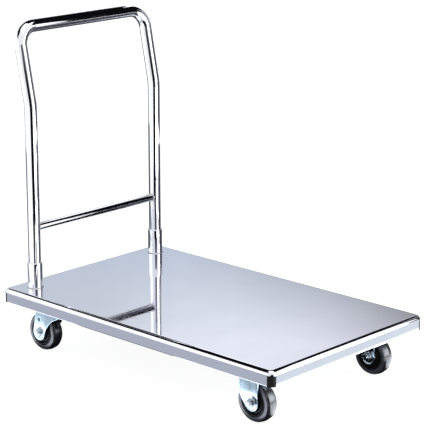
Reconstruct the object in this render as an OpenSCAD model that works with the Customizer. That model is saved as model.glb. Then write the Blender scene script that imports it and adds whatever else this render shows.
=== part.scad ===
// Flat-bed luggage trolley: a folded stainless deck on a channel frame, two fixed and two
// swivel casters, and a bent tube push handle that stands in two sockets.
// +X points to the front (fixed casters), +Y to the left, +Z up. The origin is on the floor
// under the middle of the deck.

/* [Deck] */
// Length of the deck, along X
deck_length = 915; // [800:5:1100]
// Width of the deck, along Y
deck_width = 558; // [500:2:700]
// Thickness of the deck sheet
sheet_t = 1.5; // [1:0.1:2]
// Outside radius of the rolled top edge
roll_r = 12; // [9:0.5:13]
// Depth of the deck, from its top face to the foot of its skirt
skirt_depth = 37; // [34:1:40]
// Outside radius of the corners, seen from above
corner_r = 15; // [14:0.5:20]
// Width of the lip folded inwards along the foot of each skirt
lip_w = 12; // [8:1:14]

/* [Frame] */
// Height of the frame channels
channel_h = 30; // [26:1:32]
// Width of the two side rails
rail_w = 84; // [84:1:90]
// Width of the three cross members
cross_w = 60; // [40:2:80]
// Thickness of the channel steel
channel_t = 2; // [1.5:0.1:2.5]

/* [Handle] */
// Outside diameter of the handle tube
tube_d = 31.8; // [30:0.1:34]
// Wall thickness of the handle tube
tube_wall = 1.5; // [1.2:0.1:2]
// Distance between the two posts, centre to centre
post_spacing = 434; // [400:2:440]
// Distance from the deck's rear edge to the centre of a post
post_inset = 55.5; // [50:0.5:60]
// Height of the middle of the lean bend above the deck
lean_height = 472; // [400:2:550]
// Backward lean of the upper part of the handle, in degrees
lean_angle = 11.5; // [5:0.5:12]
// Centreline radius of the lean bends
lean_r = 150; // [100:5:200]
// Height of the centreline of the grip bar above the deck
grip_height = 664; // [600:2:800]
// Centreline radius of the two top corners
corner_bend_r = 48; // [45:1:70]
// Outside diameter of the crossbar
crossbar_d = 20; // [16:0.5:25]
// Height of the crossbar's centreline above the deck
crossbar_height = 157; // [120:1:250]
// Outside diameter of the two sockets
socket_d = 38.1; // [37:0.1:41]
// Height of the sockets above the deck
socket_height = 66; // [50:1:90]

/* [Casters] */
// Height of a caster, from the floor to the top of its plate
caster_height = 128.5; // [128:0.5:132]
// Diameter of the wheels
wheel_d = 100; // [96:1:101]
// Width of the tyres
tyre_w = 32; // [28:1:33]
// Distance from the deck's middle line to the middle of each wheel
caster_y = 215; // [205:1:218]
// Distance from the deck's front edge to the front axles
front_inset = 99; // [90:1:120]
// Distance from the deck's rear edge to the rear axles, with the wheels trailing back
rear_inset = 90; // [80:1:95]
// Distance from the swivel axis to the axle of a swivel caster
swivel_lead = 33; // [28:1:34]
// Length of the mounting plates, along X
plate_l = 100; // [98:1:105]
// Width of the mounting plates, along Y
plate_w = 80; // [76:1:82]
// Thickness of the mounting plates
plate_t = 3; // [2.5:0.1:3.5]
// Thickness of the fork legs
leg_t = 2.5; // [2:0.1:3]

/* [Hidden] */
$fn = 96;

LEFT = 1;
RIGHT = -1;

// Heights
deck_top = caster_height + channel_h + sheet_t;
rail_z = caster_height;
sheet_under = deck_top - sheet_t;
plate_under = caster_height - plate_t;

// Deck
corner_x = deck_length / 2 - corner_r;
corner_y = deck_width / 2 - corner_r;
roll_in = corner_r - roll_r;
insert_gap = 0.2;
insert_wing_l = 20;
insert_wing_t = 2.5;

// Frame
rail_inset = 23;
rail_l = deck_length - 2 * rail_inset;
cross_l = 2 * (caster_y - rail_w / 2);

// Handle
tube_r = tube_d / 2;
bore_r = tube_r - tube_wall;
post_x = -deck_length / 2 + post_inset;
post_y = post_spacing / 2;
socket_r = socket_d / 2;
socket_clear = 0.1;
socket_floor_t = 2;
socket_foot = rail_z + channel_t;
socket_mouth = deck_top + socket_height;
mouth_chamfer = 0.8;
post_foot = socket_foot + socket_floor_t + 0.3;
lean_z = deck_top + lean_height;
lean_tangent = lean_r * tan(lean_angle / 2);
grip_z = deck_top + grip_height;
upper_l = (grip_z - lean_z) / cos(lean_angle);
ring_h = 3;
ring_proud = 0.05;
ring_gap = 0.25;
ring_gap_angle = 0.1;
crossbar_z = deck_top + crossbar_height;
crossbar_r = crossbar_d / 2;
crossbar_wall = 1.2;
bead = 2;
bead_toe = 0.3;

// Wheels
wheel_r = wheel_d / 2;
tyre_half = tyre_w / 2;
tyre_bore_r = 36;
crown_r = 60;
shoulder_r = 22;
shoulder_x = wheel_r - 20;
rim_half = tyre_half - 1;
rim_in_r = 31;
web_half = 9;
hub_r = 20.5;
hub_half = 18.6;
boss_r = 27;
boss_half = 12;

// Wheel bearings
bearing_out_r = 16;
bearing_in_r = 6;
bearing_w = 10;
bearing_mid = 14;
ball_pitch_r = 11;
ball_r = 2.9;
groove_r = 3.05;
outer_race_r = 13.2;
inner_race_r = 8.8;
balls_per_bearing = 7;
spacer_r = 8;
spacer_half = bearing_mid - bearing_w / 2;
core_bore_r = 13;

// Fasteners
thread_past = 2;
axle_r = 5.98;
axle_hole_r = 6.02;
axle_grip = bearing_mid + bearing_w / 2 + leg_t;
axle_hex_r = 19 / sqrt(3);
axle_head_h = 7.5;
axle_nut_h = 8;
nut_flange_r = 12.5;
nut_flange_h = 1.6;
nut_collar_r = 8.4;
nut_collar_h = 1.6;
thread_past_collar = 1;
axle_end = axle_grip + nut_flange_h + axle_nut_h + nut_collar_h + thread_past_collar;

// Fork legs, about the axle: x forward, y up
leg_in = 22.5;
leg_out = leg_in + leg_t;
hub_face = bearing_mid + bearing_w / 2;
leg_foot_r = 20;
leg_edge_r = 19.6;
leg_top = plate_under - wheel_r;
rigid_back = -35;
rigid_front = 24.5;
rigid_step = 21.5;
sheet_reach = 100;
rigid_dish = [27, 15];
rigid_sight = [16, 12.5];
swivel_dish = [18, 13.5];
sight_hole_r = 3;

// Swivel
ball_ring_r = 29;
swivel_ball_r = 3;
swivel_ball_count = 20;
swivel_gap = 0.15;
crown_top = plate_under - 2 * swivel_ball_r - 2 * swivel_gap;
crown_t = 3;
crown_disc_r = 38;
crown_rim_t = 2.5;
crown_rim_h = 4;
crown_under = crown_top - crown_t;
kingpin_r = 6;
kingpin_clear = 0.08;
kingpin_head_r = 11;
kingpin_head_h = 6;
thrust_r = 18;
thrust_t = 2;
thrust_gap = 0.3;
kingpin_nut_h = 7;
kingpin_hex_r = 18 / sqrt(3);
kingpin_end = caster_height + kingpin_nut_h + thread_past;
kingpin_hole_r = 15;
crease_x = 22;
crease_angle = 6;
fork_back = -8;
fork_front = swivel_lead + crown_disc_r - 1;
fork_lap = -6;
fork_arc = [94, -24];
fork_arc_r = 77.6;
fork_sight = [2, 36.5];
fork_sight_half = 2.5;
fork_top = crown_under - wheel_r;

// Mounting fasteners
bolt_dx = 40;
bolt_dy = 30;
bolt_r = 4;
bolt_hole_r = 4.5;
bolt_hex_r = 13 / sqrt(3);
bolt_head_h = 5.3;
bolt_nut_h = 6.5;
bolt_end = rail_z + channel_t + bolt_nut_h + thread_past;

// Plan positions of the four wheels, and of the plates above them
front_x = deck_length / 2 - front_inset;
rear_x = -deck_length / 2 + rear_inset;
FRONT_LEFT = [front_x, caster_y];
FRONT_RIGHT = [front_x, -caster_y];
REAR_LEFT = [rear_x, caster_y];
REAR_RIGHT = [rear_x, -caster_y];
kingpin_x = rear_x + swivel_lead;
PLATES = [for (x = [front_x, kingpin_x], side = [LEFT, RIGHT]) [x, side * caster_y]];

// Point where a line from p touches the circle of radius r about the origin
function touch(p, r, side) =
    let (a = atan2(p[1], p[0]) + side * acos(r / norm(p)))
    [r * cos(a), r * sin(a)];

// ---------- deck ----------

// Section of one deck edge: the roll, the skirt and the lip, with x out and y up from the top
module roll_section() {
    translate([roll_in, -roll_r]) intersection() {
        difference() {
            circle(roll_r);
            circle(roll_r - sheet_t);
        }
        square(roll_r + 1);
    }
}

module edge_section() {
    roll_section();
    translate([corner_r - sheet_t, -skirt_depth]) square([sheet_t, skirt_depth - roll_r]);
    translate([corner_r - sheet_t - lip_w, -skirt_depth]) square([lip_w, sheet_t]);
}

module deck_edge(run) {
    rotate([90, 0, 0]) linear_extrude(height = run, center = true) edge_section();
}

module deck_corner() {
    rotate_extrude(angle = 90) {
        roll_section();
        translate([0, -sheet_t]) square([roll_in, sheet_t]);
    }
}

module deck_panel() {
    color("gainsboro") difference() {
        translate([0, 0, deck_top]) {
            for (a = [0, 180]) rotate(a) {
                translate([corner_x, 0, 0]) deck_edge(2 * corner_y);
                translate([corner_x, corner_y, 0]) deck_corner();
                translate([-corner_x, corner_y, 0]) rotate(90) deck_corner();
                rotate(90) translate([corner_y, 0, 0]) deck_edge(2 * corner_x);
            }
            translate([-corner_x, -corner_y - roll_in, -sheet_t])
                cube([2 * corner_x, 2 * (corner_y + roll_in), sheet_t]);
            translate([-corner_x - roll_in, -corner_y, -sheet_t])
                cube([2 * (corner_x + roll_in), 2 * corner_y, sheet_t]);
        }
        for (side = [LEFT, RIGHT]) translate([post_x, side * post_y, sheet_under - 1])
            cylinder(r = socket_r + bead, h = sheet_t + 2);
    }
}

// Moulded corner pieces that close the gaps between the four skirts
module corner_insert() {
    insert_h = skirt_depth - roll_r;
    rotate_extrude(angle = 90) square([corner_r - insert_gap, insert_h]);
    for (swap = [0, 1]) mirror([swap, -swap, 0])
        translate([-insert_wing_l, corner_r - sheet_t - insert_wing_t, sheet_t])
            cube([insert_wing_l + insert_wing_t, insert_wing_t, insert_h - sheet_t]);
}

module corner_inserts() {
    color("dimgray") for (mx = [0, 1], my = [0, 1]) mirror([mx, 0, 0]) mirror([0, my, 0])
        translate([corner_x, corner_y, deck_top - skirt_depth]) corner_insert();
}

// ---------- frame ----------

// Channel, open at the top, along X
module channel(run, width) {
    translate([-run / 2, -width / 2, rail_z]) difference() {
        cube([run, width, channel_h]);
        translate([-1, channel_t, channel_t])
            cube([run + 2, width - 2 * channel_t, channel_h]);
    }
}

module side_rail(side) {
    color("slategray") difference() {
        translate([0, side * caster_y, 0]) channel(rail_l, rail_w);
        for (p = PLATES) if (p[1] * side > 0) {
            mount_pattern(p) cylinder(r = bolt_hole_r, h = 4 * channel_t, center = true);
            if (p[0] < 0) translate([p[0], p[1], rail_z])
                cylinder(r = kingpin_hole_r, h = 4 * channel_t, center = true);
        }
    }
}

module cross_member(x) {
    color("slategray") translate([x, 0, 0]) rotate(90) channel(cross_l, cross_w);
}

module mount_pattern(p) {
    for (sx = [-1, 1], sy = [-1, 1])
        translate([p[0] + sx * bolt_dx, p[1] + sy * bolt_dy, rail_z]) children();
}

// ---------- handle ----------

module handle_socket(side) {
    color("silver") translate([post_x, side * post_y, 0]) difference() {
        translate([0, 0, socket_foot]) cylinder(r = socket_r, h = socket_mouth - socket_foot);
        translate([0, 0, socket_foot + socket_floor_t])
            cylinder(r = tube_r + socket_clear, h = socket_mouth);
        translate([0, 0, socket_mouth - mouth_chamfer])
            cylinder(r1 = tube_r + socket_clear, r2 = tube_r + socket_clear + 2 * mouth_chamfer,
                h = 2 * mouth_chamfer);
    }
}

// Fillet welds that fill the holes round the sockets and stand proud of the deck
module socket_weld_beads() {
    color("darkgray") for (side = [LEFT, RIGHT]) translate([post_x, side * post_y, deck_top])
        rotate_extrude() translate([socket_r, 0]) {
            intersection() {
                circle(bead);
                square(bead + 1);
            }
            translate([0, -sheet_t]) square([bead, sheet_t]);
        }
}

// A straight length of the handle tube, and a bent one
module straight_tube(length) {
    difference() {
        cylinder(r = tube_r, h = length);
        translate([0, 0, -1]) cylinder(r = bore_r, h = length + 2);
    }
}

module bent_tube(bend_r, angle) {
    rotate_extrude(angle = angle) translate([bend_r, 0]) difference() {
        circle(tube_r);
        circle(bore_r);
    }
}

// Tilts to the plane of the upper handle, with y up that plane from the lean bend
module upper_plane() {
    translate([post_x, 0, lean_z]) rotate([0, -lean_angle, 0]) rotate([90, 0, 90]) children();
}

// Thin ring that knits the end of a lean bend to the straight run above it
module bend_ring() {
    difference() {
        cylinder(r = tube_r + ring_proud, h = ring_h, center = true);
        cylinder(r = bore_r - ring_proud, h = ring_h + 2, center = true);
    }
}

module handle_tube() {
    straight_top = lean_z - lean_tangent;
    upper_foot = lean_tangent + ring_gap;
    upper_straight = upper_l - corner_bend_r - upper_foot;
    color("silver") {
        for (side = [LEFT, RIGHT]) {
            translate([post_x, side * post_y, post_foot]) straight_tube(straight_top - post_foot);
            translate([post_x - lean_r, side * post_y, straight_top])
                rotate([90, 0, 0]) bent_tube(lean_r, lean_angle - ring_gap_angle);
            upper_plane() {
                translate([side * post_y, lean_tangent, 0]) rotate([-90, 0, 0]) bend_ring();
                translate([side * post_y, upper_foot, 0]) rotate([-90, 0, 0])
                    straight_tube(upper_straight);
                translate([side * (post_y - corner_bend_r), upper_l - corner_bend_r, 0])
                    rotate(side == LEFT ? 0 : 90) bent_tube(corner_bend_r, 90);
            }
        }
        upper_plane() translate([-post_y + corner_bend_r, upper_l, 0]) rotate([0, 90, 0])
            straight_tube(2 * (post_y - corner_bend_r));
    }
}

module posts_cut() {
    for (side = [LEFT, RIGHT])
        translate([post_x, side * post_y, crossbar_z - tube_d])
            cylinder(r = tube_r, h = 2 * tube_d);
}

module handle_crossbar() {
    color("silver") difference() {
        translate([post_x, 0, crossbar_z]) rotate([90, 0, 0]) difference() {
            cylinder(r = crossbar_r, h = post_spacing, center = true);
            cylinder(r = crossbar_r - crossbar_wall, h = post_spacing + 2, center = true);
        }
        posts_cut();
    }
}

module crossbar_weld_beads() {
    inner = post_y - tube_r;
    color("darkgray") difference() {
        for (side = [LEFT, RIGHT]) translate([post_x, side * (inner - bead), crossbar_z])
            rotate([-90 * side, 0, 0]) difference() {
                cylinder(r1 = crossbar_r + bead_toe, r2 = crossbar_r + bead, h = 2 * bead);
                translate([0, 0, -1]) cylinder(r = crossbar_r, h = 2 * bead + 2);
            }
        posts_cut();
    }
}

// ---------- wheels ----------

// Puts a piece at a wheel: the axle is z, towards the trolley's right, and y is up
module at_wheel(place) {
    translate([place[0], place[1], wheel_r]) rotate([90, 0, 0]) children();
}

module tyre(place) {
    color("dimgray") at_wheel(place) rotate_extrude() intersection() {
        translate([tyre_bore_r, -tyre_half]) square([wheel_r, tyre_w]);
        translate([wheel_r - crown_r, 0]) circle(crown_r, $fn = 180);
        translate([shoulder_x, 0]) circle(shoulder_r);
    }
}

module band(r_in, r_out, half) {
    translate([r_in, -half]) square([r_out - r_in, 2 * half]);
}

module wheel_core(place) {
    color("#262626") at_wheel(place) rotate_extrude() difference() {
        union() {
            band(0, hub_r, hub_half);
            band(0, boss_r, boss_half);
            band(0, tyre_bore_r, web_half);
            band(rim_in_r, tyre_bore_r, rim_half);
        }
        band(-1, core_bore_r, hub_half + 1);
        for (s = [-1, 1]) translate([0, s * bearing_mid]) band(0, bearing_out_r, bearing_w / 2);
    }
}

module both_bearings(place) {
    at_wheel(place) for (s = [-1, 1]) translate([0, 0, s * bearing_mid]) children();
}

module race(r_in, r_out) {
    rotate_extrude() difference() {
        band(r_in, r_out, bearing_w / 2);
        translate([ball_pitch_r, 0]) circle(groove_r);
    }
}

module outer_races(place) {
    color("lightsteelblue") both_bearings(place) race(outer_race_r, bearing_out_r);
}

module inner_races(place) {
    color("lightsteelblue") both_bearings(place) race(bearing_in_r, inner_race_r);
}

module wheel_balls(place) {
    color("silver") both_bearings(place) for (i = [0 : balls_per_bearing - 1])
        rotate(i * 360 / balls_per_bearing) translate([ball_pitch_r, 0, 0])
            sphere(ball_r, $fn = 32);
}

module spacer(place) {
    color("silver") at_wheel(place) rotate_extrude() band(bearing_in_r, spacer_r, spacer_half);
}

module axle_bolt(place) {
    color("silver") at_wheel(place) {
        translate([0, 0, -axle_grip]) cylinder(r = axle_r, h = axle_grip + axle_end);
        translate([0, 0, -axle_grip - axle_head_h])
            cylinder(r = axle_hex_r, h = axle_head_h, $fn = 6);
    }
}

module axle_nut(place) {
    color("silver") at_wheel(place) translate([0, 0, axle_grip]) difference() {
        union() {
            cylinder(r = nut_flange_r, h = nut_flange_h);
            translate([0, 0, nut_flange_h]) cylinder(r = axle_hex_r, h = axle_nut_h, $fn = 6);
            translate([0, 0, nut_flange_h + axle_nut_h])
                cylinder(r = nut_collar_r, h = nut_collar_h);
        }
        translate([0, 0, -1]) cylinder(r = bearing_in_r, h = axle_end);
    }
}

// ---------- casters ----------

// Rectangular plate under the frame, with its four bolt holes
module mount_plate(p) {
    difference() {
        translate([p[0] - plate_l / 2, p[1] - plate_w / 2, plate_under])
            cube([plate_l, plate_w, plate_t]);
        mount_pattern(p) cylinder(r = bolt_hole_r, h = 4 * plate_t, center = true);
    }
}

// Pressed dish that brings a leg in to the hub
module hub_dish(dish) {
    drop = leg_in - hub_face;
    translate([0, 0, hub_face]) rotate_extrude() polygon([
        [axle_hole_r, 0], [dish[1], 0], [dish[0], drop],
        [dish[0], drop + leg_t], [dish[1], leg_t], [axle_hole_r, leg_t]]);
}

// One leg: a sheet, the first child, cut to an outline, the second, with its dish
module dished_leg(dish) {
    difference() {
        intersection() {
            children(0);
            linear_extrude(height = leg_out + 1) children(1);
        }
        cylinder(r = dish[0], h = leg_out + 1);
    }
    intersection() {
        hub_dish(dish);
        translate([0, 0, hub_face - 1]) linear_extrude(height = leg_out) children(1);
    }
}

module flat_sheet() {
    translate([-sheet_reach, -sheet_reach, leg_in])
        cube([2 * sheet_reach, 2 * sheet_reach, leg_t]);
}

// Sheet whose front part turns inwards at the crease
module creased_sheet() {
    end_x = crease_x + sheet_reach;
    drop = sheet_reach * tan(crease_angle);
    rotate([90, 0, 0]) linear_extrude(height = 2 * sheet_reach, center = true) polygon([
        [-sheet_reach, leg_in], [crease_x, leg_in], [end_x, leg_in - drop],
        [end_x, leg_out - drop], [crease_x, leg_out], [-sheet_reach, leg_out]]);
}

module rigid_outline() {
    back = touch([rigid_back, rigid_step], leg_edge_r, 1);
    front = touch([rigid_front, leg_top], leg_edge_r, -1);
    difference() {
        union() {
            circle(leg_foot_r);
            polygon([[rigid_back, leg_top], [rigid_back, rigid_step], back, [0, 0], front,
                [rigid_front, leg_top]]);
        }
        translate(rigid_sight) circle(sight_hole_r);
    }
}

module rigid_bracket(place) {
    color("lightsteelblue") {
        mount_plate(place);
        at_wheel(place) for (s = [0, 1]) mirror([0, 0, s]) dished_leg(rigid_dish) {
            flat_sheet();
            rigid_outline();
        }
    }
}

module fork_outline() {
    back = touch([fork_back, fork_top], leg_edge_r, 1);
    difference() {
        union() {
            circle(leg_foot_r);
            difference() {
                polygon([[fork_back, fork_top], back, [0, 0], [leg_foot_r, fork_lap],
                    [fork_front, fork_lap], [fork_front, fork_top]]);
                translate(fork_arc) circle(fork_arc_r, $fn = 180);
            }
        }
        for (s = [-1, 1]) translate(fork_sight + [0, s * fork_sight_half]) circle(sight_hole_r);
        translate(fork_sight) square([2 * sight_hole_r, 2 * fork_sight_half], center = true);
    }
}

module swivel_fork(place) {
    color("lightsteelblue") {
        translate([place[0] + swivel_lead, place[1], 0]) {
            translate([0, 0, crown_under]) difference() {
                cylinder(r = crown_disc_r, h = crown_t);
                translate([0, 0, -1]) cylinder(r = kingpin_r + kingpin_clear, h = crown_t + 2);
            }
            translate([0, 0, crown_top]) difference() {
                cylinder(r = crown_disc_r, h = crown_rim_h);
                translate([0, 0, -1])
                    cylinder(r = crown_disc_r - crown_rim_t, h = crown_rim_h + 2);
            }
        }
        at_wheel(place) for (s = [0, 1]) mirror([0, 0, s]) dished_leg(swivel_dish) {
            creased_sheet();
            fork_outline();
        }
    }
}

module top_plate(place) {
    p = [place[0] + swivel_lead, place[1]];
    color("lightsteelblue") difference() {
        mount_plate(p);
        translate([p[0], p[1], plate_under - 1]) cylinder(r = kingpin_r, h = plate_t + 2);
    }
}

module kingpin(place) {
    thrust_top = crown_under - thrust_gap;
    color("silver") translate([place[0] + swivel_lead, place[1], 0]) {
        translate([0, 0, thrust_top - thrust_t]) {
            cylinder(r = kingpin_r, h = kingpin_end - thrust_top + thrust_t);
            cylinder(r = thrust_r, h = thrust_t);
        }
        translate([0, 0, thrust_top - thrust_t - kingpin_head_h])
            cylinder(r = kingpin_head_r, h = kingpin_head_h, $fn = 6);
    }
}

module kingpin_nut(place) {
    color("silver") translate([place[0] + swivel_lead, place[1], caster_height]) difference() {
        cylinder(r = kingpin_hex_r, h = kingpin_nut_h, $fn = 6);
        translate([0, 0, -1]) cylinder(r = kingpin_r, h = kingpin_nut_h + 2);
    }
}

module swivel_balls(place) {
    z = plate_under - swivel_gap - swivel_ball_r;
    color("silver") translate([place[0] + swivel_lead, place[1], z])
        for (i = [0 : swivel_ball_count - 1]) rotate(i * 360 / swivel_ball_count)
            translate([ball_ring_r, 0, 0]) sphere(swivel_ball_r, $fn = 32);
}

// ---------- mounting fasteners ----------

module caster_bolts() {
    color("silver") for (p = PLATES) mount_pattern(p) {
        translate([0, 0, -plate_t - bolt_head_h]) {
            cylinder(r = bolt_hex_r, h = bolt_head_h, $fn = 6);
            cylinder(r = bolt_r, h = bolt_end - rail_z + plate_t + bolt_head_h);
        }
    }
}

module caster_nuts() {
    color("silver") for (p = PLATES) mount_pattern(p) translate([0, 0, channel_t])
        difference() {
            cylinder(r = bolt_hex_r, h = bolt_nut_h, $fn = 6);
            translate([0, 0, -1]) cylinder(r = bolt_r, h = bolt_nut_h + 2);
        }
}

deck_panel();
corner_inserts();
side_rail(LEFT);  // left_side_rail
side_rail(RIGHT);  // right_side_rail
cross_member(front_x);  // front_cross_member
cross_member(0);  // middle_cross_member
cross_member(kingpin_x);  // rear_cross_member
handle_socket(LEFT);  // left_handle_socket
handle_socket(RIGHT);  // right_handle_socket
socket_weld_beads();
caster_bolts();
caster_nuts();
handle_tube();
handle_crossbar();
crossbar_weld_beads();
rigid_bracket(FRONT_LEFT);  // front_left_bracket
rigid_bracket(FRONT_RIGHT);  // front_right_bracket
top_plate(REAR_LEFT);  // rear_left_top_plate
top_plate(REAR_RIGHT);  // rear_right_top_plate
kingpin(REAR_LEFT);  // rear_left_kingpin
kingpin(REAR_RIGHT);  // rear_right_kingpin
kingpin_nut(REAR_LEFT);  // rear_left_kingpin_nut
kingpin_nut(REAR_RIGHT);  // rear_right_kingpin_nut
swivel_fork(REAR_LEFT);  // rear_left_fork
swivel_fork(REAR_RIGHT);  // rear_right_fork
swivel_balls(REAR_LEFT);  // rear_left_swivel_balls
swivel_balls(REAR_RIGHT);  // rear_right_swivel_balls
tyre(FRONT_LEFT);  // front_left_tyre
tyre(FRONT_RIGHT);  // front_right_tyre
tyre(REAR_LEFT);  // rear_left_tyre
tyre(REAR_RIGHT);  // rear_right_tyre
wheel_core(FRONT_LEFT);  // front_left_wheel_core
wheel_core(FRONT_RIGHT);  // front_right_wheel_core
wheel_core(REAR_LEFT);  // rear_left_wheel_core
wheel_core(REAR_RIGHT);  // rear_right_wheel_core
outer_races(FRONT_LEFT);  // front_left_outer_races
outer_races(FRONT_RIGHT);  // front_right_outer_races
outer_races(REAR_LEFT);  // rear_left_outer_races
outer_races(REAR_RIGHT);  // rear_right_outer_races
wheel_balls(FRONT_LEFT);  // front_left_wheel_balls
wheel_balls(FRONT_RIGHT);  // front_right_wheel_balls
wheel_balls(REAR_LEFT);  // rear_left_wheel_balls
wheel_balls(REAR_RIGHT);  // rear_right_wheel_balls
inner_races(FRONT_LEFT);  // front_left_inner_races
inner_races(FRONT_RIGHT);  // front_right_inner_races
inner_races(REAR_LEFT);  // rear_left_inner_races
inner_races(REAR_RIGHT);  // rear_right_inner_races
spacer(FRONT_LEFT);  // front_left_spacer
spacer(FRONT_RIGHT);  // front_right_spacer
spacer(REAR_LEFT);  // rear_left_spacer
spacer(REAR_RIGHT);  // rear_right_spacer
axle_bolt(FRONT_LEFT);  // front_left_axle_bolt
axle_bolt(FRONT_RIGHT);  // front_right_axle_bolt
axle_bolt(REAR_LEFT);  // rear_left_axle_bolt
axle_bolt(REAR_RIGHT);  // rear_right_axle_bolt
axle_nut(FRONT_LEFT);  // front_left_axle_nut
axle_nut(FRONT_RIGHT);  // front_right_axle_nut
axle_nut(REAR_LEFT);  // rear_left_axle_nut
axle_nut(REAR_RIGHT);  // rear_right_axle_nut
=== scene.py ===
from math import acos, atan2, ceil, cos, degrees, dist, hypot, pi, radians, sin, sqrt, tan

import bmesh
import bpy
from mathutils import Matrix, Vector
from mathutils.geometry import delaunay_2d_cdt


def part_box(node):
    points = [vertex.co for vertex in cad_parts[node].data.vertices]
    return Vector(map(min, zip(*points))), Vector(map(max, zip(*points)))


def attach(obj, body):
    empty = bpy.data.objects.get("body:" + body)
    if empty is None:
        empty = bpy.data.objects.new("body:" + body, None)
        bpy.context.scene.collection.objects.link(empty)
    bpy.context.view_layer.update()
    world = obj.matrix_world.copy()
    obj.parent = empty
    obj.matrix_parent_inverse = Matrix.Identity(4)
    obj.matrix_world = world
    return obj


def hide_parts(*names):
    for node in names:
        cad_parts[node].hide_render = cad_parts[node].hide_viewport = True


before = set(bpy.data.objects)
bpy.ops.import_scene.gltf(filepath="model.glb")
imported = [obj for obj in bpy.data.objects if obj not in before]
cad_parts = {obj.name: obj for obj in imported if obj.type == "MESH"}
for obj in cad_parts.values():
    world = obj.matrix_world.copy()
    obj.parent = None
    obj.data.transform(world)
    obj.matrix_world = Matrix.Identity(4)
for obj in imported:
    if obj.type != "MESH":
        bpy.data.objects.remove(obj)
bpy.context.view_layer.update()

# ---- sizes, in metres

MM = 0.001
LEFT, RIGHT = 1, -1
SIDES = {"left": LEFT, "right": RIGHT}
WHEELS = ["front_left", "front_right", "rear_left", "rear_right"]

# Deck
DECK_LOW, DECK_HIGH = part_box("deck_panel")
DECK_TOP = DECK_HIGH.z
SKIRT_FOOT = DECK_LOW.z
SHEET = 1.5 * MM
ROLL_R = 12 * MM
CORNER_R = 15 * MM
LIP_W = 12 * MM
LIP_BEND_R = 2.2 * MM
FLAT_MARGIN = 1 * MM
ARC_X = DECK_HIGH.x - CORNER_R
ARC_Y = DECK_HIGH.y - CORNER_R

# Corner inserts
INSERT_GAP = 0.2 * MM
WING_L = 20 * MM
WING_T = 2.5 * MM

# Frame channels
CHANNEL_T = 2 * MM
CHANNEL_BEND_R = 4 * MM
KINGPIN_ROOM_R = 15 * MM

# Handle
TUBE_R = 15.9 * MM
TUBE_WALL = 1.5 * MM
LEAN = radians(11.5)
LEAN_R = 150 * MM
TOP_CORNER_R = 48 * MM
CROSSBAR_R = 10 * MM
CROSSBAR_WALL = 1.2 * MM
SOCKET_R = 19.05 * MM
SOCKET_CLEAR = 0.1 * MM
SOCKET_FLOOR_T = 2 * MM
BEAD = 2 * MM

# Wheels, about the axle
TYRE_BORE_R = 36 * MM
RIM_IN_R = 31 * MM
HUB_R = 20.5 * MM
BOSS_R = 27 * MM
HUB_HALF = 18.6 * MM
BOSS_HALF = 12 * MM
WEB_HALF = 9 * MM
BEARING_R = 16 * MM
BEARING_MID = 14 * MM
BEARING_W = 10 * MM
CORE_BORE_R = 13 * MM
RIBS = 10

# Fork and bracket legs, about the axle: x forward, y up the leg
LEG_T = 2.5 * MM
LEG_MID = 23.75 * MM
HUB_MID = 20.25 * MM
FOOT_R = 20 * MM
LEG_HOLE_R = 6.1 * MM
PLATE_T = 3 * MM

# Fasteners
BOLT_SPOTS = [(dx * MM, dy * MM) for dx in (-40, 40) for dy in (-30, 30)]
BOLT_R = 4 * MM
BOLT_HOLE_R = 4.5 * MM
BOLT_HEX = 13 * MM
AXLE_HEX = 19 * MM
AXLE_R = 6 * MM
THREAD_PITCH = 1.75 * MM
BOLT_PITCH = 1.25 * MM


def centre(node):
    low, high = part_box(node)
    return (low + high) / 2


WHEEL_AT = {w: centre(w + "_tyre") for w in WHEELS}
WHEEL_R = WHEEL_AT["front_left"].z
TYRE_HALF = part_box("front_left_tyre")[1].y - WHEEL_AT["front_left"].y
PLATE_AT = {w: centre(w + ("_top_plate" if w.startswith("rear") else "_tyre")) for w in WHEELS}
PLATE_LOW, PLATE_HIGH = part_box("rear_left_top_plate")
PLATE_TOP = PLATE_HIGH.z
PLATE_HALF = (PLATE_HIGH - PLATE_LOW) / 2
POST_AT = {side: centre(word + "_handle_socket") for word, side in SIDES.items()}

# ---- mesh helpers


def arc(centre_xy, radius, start, end, steps):
    """Points along an arc, its angles in degrees."""
    points = []
    for i in range(steps + 1):
        a = radians(start + (end - start) * i / steps)
        points.append((centre_xy[0] + radius * cos(a), centre_xy[1] + radius * sin(a)))
    return points


def rounded(corners, radii, steps=6):
    """A closed 2D outline with each corner rounded to its radius."""
    points = []
    n = len(corners)
    for i in range(n):
        p = Vector(corners[i])
        before = Vector(corners[i - 1]) - p
        after = Vector(corners[(i + 1) % n]) - p
        radius = radii[i]
        if radius <= 0:
            points.append(tuple(p))
            continue
        u, v = before.normalized(), after.normalized()
        half = u.angle(v) / 2
        reach = radius / tan(half)
        middle = p + (u + v).normalized() * (radius / sin(half))
        first = p + u * reach - middle
        turn = first.angle_signed(p + v * reach - middle)
        for k in range(steps + 1):
            a = -turn * k / steps
            c, s = cos(a), sin(a)
            spoke = Vector((first.x * c - first.y * s, first.x * s + first.y * c))
            points.append(tuple(middle + spoke))
    return points


def rounded_path(corners, radii, step):
    """Points along a 3D path whose inner corners are rounded to their radii."""
    points = [Vector(corners[0])]
    for i in range(1, len(corners) - 1):
        p = Vector(corners[i])
        u = (Vector(corners[i - 1]) - p).normalized()
        v = (Vector(corners[i + 1]) - p).normalized()
        half = u.angle(v) / 2
        middle = p + (u + v).normalized() * (radii[i] / sin(half))
        first = p + u * (radii[i] / tan(half)) - middle
        axis = first.cross(p + v * (radii[i] / tan(half)) - middle).normalized()
        turn = pi - 2 * half
        steps = max(2, ceil(turn / step))
        for k in range(steps + 1):
            points.append(middle + Matrix.Rotation(turn * k / steps, 3, axis) @ first)
    points.append(Vector(corners[-1]))
    return points


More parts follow.
